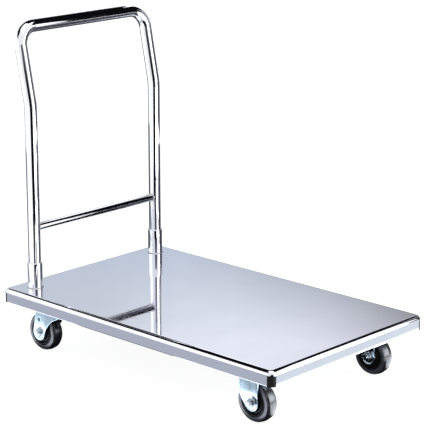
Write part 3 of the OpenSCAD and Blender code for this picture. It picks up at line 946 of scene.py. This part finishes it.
def thicken(bm, name, thickness, material):
    """A closed sheet part of that thickness about its middle surface, its rims eased."""
    bmesh.ops.remove_doubles(bm, verts=bm.verts, dist=1e-7)
    bmesh.ops.recalc_face_normals(bm, faces=bm.faces)
    obj = mesh_object(bm, name, material)
    solidify(obj, thickness, 0, 50)
    bevel = obj.modifiers.new("edge", "BEVEL")
    bevel.width = 0.35 * MM
    bevel.segments = 2
    bevel.limit_method = "ANGLE"
    bevel.angle_limit = radians(60)
    bevel.harden_normals = False
    settle(obj, 50)
    return obj


def round_hole(x, y, radius):
    return arc((x, y), radius, 0, 360, 28)[:-1]


def long_hole(x, y, radius, half):
    top = arc((x, y + half), radius, 0, 180, 12)
    return top + arc((x, y - half), radius, 180, 360, 12)


def leg_point(place, side, x, y, dish, top, bend_r, crease):
    """Where a leg's flat point (x, y) ends up: dished in round the hub between the dish's two
    radii, creased along a line, and bent in at the top."""
    r = hypot(x, y)
    out = HUB_MID + (LEG_MID - HUB_MID) * ease((r - dish[1]) / (dish[0] - dish[1]))
    if crease:
        crease_x, slope, soft = crease
        t = (x - crease_x) / soft
        run = 0 if t < -1 else (x - crease_x if t > 1 else soft * (t + 1) ** 2 / 4)
        out -= run * slope
    up = y
    start = top - bend_r
    if y > start:
        a = (y - start) / bend_r
        if a < pi / 2:
            out -= bend_r * (1 - cos(a))
            up = start + bend_r * sin(a)
        else:
            out -= bend_r + (y - start - bend_r * pi / 2)
            up = top
    return place + Vector((x, side * out, up))


def pressed_legs(place, outline_of, holes, dish, top, bend_r, flange, crease=None):
    """Both legs of a fork or bracket, each a pressed sheet whose top bends in under the plate."""
    bm = bmesh.new()
    reach = top - bend_r + bend_r * pi / 2 + flange
    outline = outline_of(reach)
    for side in (LEFT, RIGHT):
        sheet_mesh(bm, outline, holes, 2.0 * MM,
                   lambda x, y, s=side: leg_point(place, s, x, y, dish, top, bend_r, crease))
    return bm


def rigid_outline(reach):
    """A fixed leg: a round foot, a sloping front edge and a stepped back edge."""
    back, front, step_y = -35 * MM, 24.5 * MM, 21.5 * MM
    a = touch((back, step_y), FOOT_R, 1)
    b = touch((front, 70 * MM), FOOT_R, -1)
    foot = arc((0, 0), FOOT_R, a, b + 360, 36)
    corner = rounded([(back, reach), (back, step_y), foot[0]], [0, 7 * MM, 0], 8)
    return corner[:-1] + foot + [(front, reach)]


def fork_outline(reach):
    """A swivel leg: a round foot, a straight back edge and a front edge hollowed by an arc
    about the point lead."""
    back, front = -8 * MM, 70 * MM
    lead = Vector((94 * MM, -24 * MM))
    lead_r = 77.6 * MM
    a = touch((back, 66.2 * MM), FOOT_R, 1)
    span = lead.length
    along = degrees(acos((span**2 + FOOT_R**2 - lead_r**2) / (2 * span * FOOT_R)))
    b = degrees(atan2(lead.y, lead.x)) + along
    foot = arc((0, 0), FOOT_R, a, b + 360, 36)
    join = Vector(foot[-1]) - lead
    start = degrees(atan2(join.y, join.x))
    end = 180 - degrees(acos((lead.x - front) / lead_r))
    arch = arc(tuple(lead), lead_r, start, end, 30)
    return [(back, reach)] + foot + arch[1:] + [(front, reach)]


def plate_part(name, p, extra_holes):
    """Mounting plate with rounded corners and its bolt holes."""
    hx, hy = PLATE_HALF.x, PLATE_HALF.y
    outline = rounded([(-hx, -hy), (hx, -hy), (hx, hy), (-hx, hy)], [7 * MM] * 4, 8)
    bm = bmesh.new()
    prism(bm, outline, PLATE_TOP - PLATE_T, PLATE_TOP, upright(p))
    ease_edges(bm, 60, 0.4 * MM)
    obj = finish_mesh(bm, name, ZINC)
    holes = [(p.x + dx, p.y + dy, BOLT_HOLE_R) for dx, dy in BOLT_SPOTS]
    drill(obj, PLATE_TOP, 2 * PLATE_T, holes + extra_holes)
    return obj


def join_into(first, other):
    """Adds the other object's mesh to the first object's mesh."""
    bm = bmesh.new()
    for obj in (first, other):
        bm.from_mesh(obj.data)
    bm.to_mesh(first.data)
    bm.free()
    discard(other)
    return first


def rigid_bracket(wheel):
    place = WHEEL_AT[wheel]
    top = PLATE_TOP - PLATE_T - LEG_T / 2 - place.z
    holes = [round_hole(0, 0, LEG_HOLE_R), round_hole(16 * MM, 12.5 * MM, 3 * MM)]
    bm = pressed_legs(place, rigid_outline, holes, (27 * MM, 15 * MM), top, 4.5 * MM, 5 * MM)
    legs = thicken(bm, "bracket_" + wheel, LEG_T, ZINC)
    plate = plate_part("plate_" + wheel, PLATE_AT[wheel], [])
    stands_for(join_into(legs, plate), "chassis", "zinc", wheel + "_bracket")


def swivel_fork(wheel):
    place = WHEEL_AT[wheel]
    pin = centre(wheel + "_kingpin")
    crown_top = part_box(wheel + "_fork")[1].z
    crown_r, crown_t, rim_t = 38 * MM, 3 * MM, 2.5 * MM
    rim_h = 4 * MM
    under = crown_top - rim_h - crown_t
    top = under - LEG_T / 2 - place.z
    holes = [round_hole(0, 0, LEG_HOLE_R), long_hole(2 * MM, 36.5 * MM, 3 * MM, 2.5 * MM)]
    crease = (22 * MM, tan(radians(6)), 3.5 * MM)
    bm = pressed_legs(place, fork_outline, holes, (18 * MM, 13.5 * MM), top, 3.2 * MM, 0.5 * MM, crease)
    legs = thicken(bm, "fork_" + wheel, LEG_T, ZINC)
    bore = 6.08 * MM
    corners = [(bore, under), (crown_r, under), (crown_r, crown_top), (crown_r - rim_t, crown_top),
               (crown_r - rim_t, under + crown_t), (bore, under + crown_t)]
    profile = rounded(corners, [0, 2.6 * MM, 1.1 * MM, 1.1 * MM, 1.5 * MM, 0])
    bm = bmesh.new()
    lathe(bm, profile, 120, upright(pin))
    crown = finish_mesh(bm, "crown_" + wheel, ZINC, 40)
    stands_for(join_into(legs, crown), wheel + "_swivel", "zinc", wheel + "_fork")


def top_plate(wheel):
    p = PLATE_AT[wheel]
    plate = plate_part("topplate_" + wheel, p, [(p.x, p.y, AXLE_R)])
    stands_for(plate, "chassis", "zinc", wheel + "_top_plate")


# ---- pieces that keep their CAD meshes


def dress_cad_nodes():
    """Materials for the small turned pieces, which keep their CAD shape."""
    wear = {"kingpin": FASTENER, "kingpin_nut": FASTENER, "swivel_balls": BEARING,
            "outer_races": BEARING, "inner_races": BEARING, "wheel_balls": BEARING,
            "spacer": FASTENER}
    for name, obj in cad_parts.items():
        if obj.hide_render:
            continue
        kind = next(k for k in sorted(wear, key=len, reverse=True) if name.endswith(k))
        obj.data.materials.clear()
        obj.data.materials.append(wear[kind])
        smooth(obj.data, 40)


# ---- stage


def card_material(name):
    """Glows with the card's own painted colours."""
    material = bpy.data.materials.new(name)
    material.use_nodes = True
    tree = material.node_tree
    tree.nodes.clear()
    paint = add_node(tree, "VertexColor", layer_name="paint")
    glow = add_node(tree, "Emission", None, {"Color": paint.outputs["Color"]})
    add_node(tree, "OutputMaterial", None, {"Surface": glow.outputs[0]})
    return material


def card(name, corners, shades, faces=None):
    """A studio card that only reflections see, with one colour or one for each corner."""
    mesh = bpy.data.meshes.new(name)
    mesh.from_pydata([Vector(c) for c in corners], [], faces or [tuple(range(len(corners)))])
    paint = mesh.color_attributes.new("paint", "FLOAT_COLOR", "POINT")
    for i in range(len(corners)):
        shade = shades[i] if isinstance(shades, list) else shades
        paint.data[i].color = (*shade, 1)
    mesh.materials.append(card_material(name))
    obj = add_object(name, mesh)
    obj.visible_camera = False
    obj.visible_diffuse = False
    obj.visible_shadow = False


def strip(name, middle, azimuths, near, far, shades):
    """A card swept through azimuths, in degrees from +X. near and far are (radius, height).
    shades has a (near, far) pair of colours for each azimuth."""
    between = 6
    corners, colours = [], []
    for k in range(len(azimuths) - 1):
        for i in range(between + (k == len(azimuths) - 2)):
            t = i / between
            a = radians(azimuths[k] * (1 - t) + azimuths[k + 1] * t)
            for (radius, height), here, there in zip((near, far), shades[k], shades[k + 1]):
                corners.append((middle[0] + radius * cos(a), middle[1] + radius * sin(a), height))
                colours.append([p * (1 - t) + q * t for p, q in zip(here, there)])
    faces = [(i, i + 1, i + 3, i + 2) for i in range(0, len(corners) - 2, 2)]
    card(name, corners, colours, faces)


def area_light(name, place, target, size, power):
    data = bpy.data.lights.new(name, "AREA")
    data.shape = "RECTANGLE"
    data.size, data.size_y = size
    data.energy = power
    obj = add_object(name, data)
    obj.location = place
    obj.rotation_euler = (Vector(target) - Vector(place)).to_track_quat("-Z", "Y").to_euler()
    obj.visible_camera = False


def stage():
    half = 14.0
    square = [(-half, -half, 0), (half, -half, 0), (half, half, 0), (-half, half, 0)]
    mesh = bpy.data.meshes.new("floor")
    mesh.from_pydata(square, [], [(0, 1, 2, 3)])
    pale, _, shader = start_material("pale_floor", (0.20, 0.20, 0.20), 0.0, 0.9)
    shader.inputs["Emission Color"].default_value = (1, 1, 1, 1)
    shader.inputs["Emission Strength"].default_value = 0.92
    mesh.materials.append(pale)
    add_object("floor", mesh)

    world = bpy.data.worlds.new("studio")
    bpy.context.scene.world = world
    world.use_nodes = True
    back = world.node_tree.nodes["Background"]
    back.inputs["Color"].default_value = (1, 1, 1, 1)
    back.inputs["Strength"].default_value = 1.0

    # two soft lights
    area_light("overhead", (0.2, 0.0, 3.4), (0, 0, 0), (3.0, 3.0), 40)
    area_light("right_key", (2.6, 1.3, 1.1), (0, 0, 0.1), (1.6, 1.2), 30)

    black, white = (0.004, 0.004, 0.005), (1.5, 1.5, 1.55)
    grey, light_grey = (0.05, 0.05, 0.07), (0.28, 0.28, 0.35)
    low, above = 0.004, 0.008
    wall_r, wall_top = 2.45, 1.72
    posts, deck_middle = (POST_AT[LEFT].x, 0), (0, 0)

    def plain(name, middle, azimuths, near, far, shade):
        strip(name, middle, azimuths, near, far, [(shade, shade)] * len(azimuths))

    def floor_card(name, x0, x1, y0, y1, shade, z=low):
        card(name, [(x0, y0, z), (x1, y0, z), (x1, y1, z), (x0, y1, z)], shade)

    # dark parts of the room, which draw the black lines on the tubes and rolled edges
    plain("camera_side_floor", posts, [-56, -12], (1.3, low), (5.6, low), black)
    plain("camera_side_wall", posts, [-56, -12], (5.6, 0), (5.6, 1.35), black)
    strip("camera_side_upper_wall", posts, [-56, -45, -12], (5.6, 1.35), (5.6, 2.4),
          [(white, white), (black, light_grey), (black, light_grey)])
    plain("right_back_floor", posts, [40, 133], (0.42, low), (2.3, low), (0.07, 0.07, 0.09))
    patch = [(-0.10, -0.66, low), (0.95, -0.66, low), (1.1, -1.3, low), (0.36, -1.3, low)]
    card("camera_side_patch", patch, black)
    strip("left_back_floor", posts, [133, 180, 215], (0.42, low), (2.3, low),
          [(grey, grey), (grey, grey), (light_grey, light_grey)])
    plain("dark_wall", deck_middle, [47, 62], (wall_r, 0), (wall_r, wall_top), black)
    plain("dim_wall", deck_middle, [62, 105], (wall_r, 0), (wall_r, 0.97), (0.10, 0.10, 0.12))
    plain("pale_wall", deck_middle, [62, 105], (wall_r, 0.97), (wall_r, wall_top), (0.50, 0.51, 0.55))
    plain("dark_skirting", deck_middle, [105, 185], (2.40, 0), (2.40, 0.42), (0.10, 0.10, 0.13))
    plain("dark_above", deck_middle, [43, 90, 137, 190, 245], (2.42, 1.70), (2.42, 4.0), black)
    ceiling = [(-2.6, 0.0, 3.3), (0.1, 0.45, 3.3), (0.45, 2.6, 3.3), (-2.6, 2.6, 3.3)]
    card("dark_ceiling", ceiling, black)

    # the board behind, which the deck mirrors: azimuth, then brightness low down and higher up
    levels = [(108, 0.02, 0.10), (113, 0.06, 0.50), (116, 0.14, 0.66), (119, 0.26, 0.79),
              (122, 0.36, 0.89), (126, 0.46, 0.95), (131, 0.60, 0.98), (136, 0.68, 0.93),
              (144, 0.66, 0.76), (170, 0.64, 0.70)]
    azimuths = [level[0] for level in levels]
    feet = [(v * 0.91, v, v * 1.14) for _, v, _ in levels]
    tops = [(w * 0.985, w, w * 1.07) for _, _, w in levels]
    for name, z0, z1, shades in (("backdrop_foot", 0.45, 0.75, zip(feet, feet)),
                                 ("backdrop", 0.75, 1.12, zip(feet, tops)),
                                 ("backdrop_top", 1.12, wall_top, zip(tops, tops))):
        strip(name, deck_middle, azimuths, (wall_r, z0), (wall_r, z1), list(shades))

    # bright panels
    flat = [(1.0, 1.0, 0.3), (2.3, 1.0, 0.3), (2.3, 1.0, 1.35), (0.8, 1.0, 1.35), (0.8, 1.0, 0.85)]
    card("right_flat", flat, white)
    plain("left_flat", deck_middle, [193, 255], (2.2, 0.3), (2.2, 1.7), white)
    sheen = [(-1.0, 0.59, 1.0), (-0.45, 0.29, 1.0), (-0.45, 0.77, 1.0), (-1.0, 1.07, 1.0)]
    card("crossbar_sheen", sheen, white)
    floor_card("left_floor", -1.2, 0.32, -0.66, -0.45, (0.50, 0.52, 0.60))
    floor_card("right_floor", 0.635, 1.2, -0.35, 0.95, (0.82, 0.88, 0.93))

    # the floor close to the wheels
    glint, strong_glint, dull = (3.0, 3.1, 3.5), (6.5, 6.8, 7.5), (0.20, 0.21, 0.24)
    tread_glint = (4.0, 4.2, 4.6)
    # a black card where the floor lies in the deck's shade: painted shade that the wheels and brackets
    # mirror
    floor_card("under_deck_painted_shade", -0.46, 0.47, -0.25, 0.28, black)
    floor_card("near_left", -0.75, -0.30, -0.44, -0.25, dull)
    floor_card("glint_rear", -0.70, -0.30, -0.37, -0.25, glint, above)
    floor_card("between", -0.30, 0.05, -0.44, -0.25, black)
    floor_card("glint_front", 0.05, 0.40, -0.37, -0.25, glint, above)
    floor_card("near_front", 0.05, 0.40, -0.44, -0.25, dull)
    floor_card("near_corner", 0.40, 0.60, -0.44, -0.25, black)
    floor_card("glint_right", 0.53, 0.59, -0.20, 0.60, strong_glint)
    floor_card("near_right", 0.465, 0.53, -0.30, 0.60, dull)
    floor_card("glint_tread_near", 0.40, 0.53, -0.20, -0.06, tread_glint, above)
    floor_card("glint_tread_far", 0.40, 0.53, 0.23, 0.38, tread_glint, above)
    wall = [(0.95, -0.1, 0.05), (0.95, 0.85, 0.05), (0.95, 0.85, 0.40), (0.95, -0.1, 0.40)]
    card("glint_wall", wall, strong_glint)


def camera():
    tilt, heading = 74.866, 43.11
    data = bpy.data.cameras.new("camera")
    data.sensor_fit = "HORIZONTAL"
    data.sensor_width = 36
    data.lens = 148.46
    data.clip_end = 100
    obj = add_object("camera", data)
    obj.location = (2.859, -3.037, 1.514)
    obj.rotation_euler = (radians(tilt), 0, radians(heading))
    bpy.context.scene.camera = obj
    bpy.context.scene.view_settings.view_transform = "Standard"


# ---- build

deck_panel()
corner_inserts()
frame_channels()
handle_sockets()
handle()
for wheel in WHEELS:
    on_fork = wheel.startswith("rear")
    tyre(wheel)
    wheel_core(wheel)
    axle_fasteners(wheel, wheel + "_swivel" if on_fork else "chassis")
    if on_fork:
        swivel_fork(wheel)
        top_plate(wheel)
    else:
        rigid_bracket(wheel)
caster_fasteners()
dress_cad_nodes()
camera()
stage()
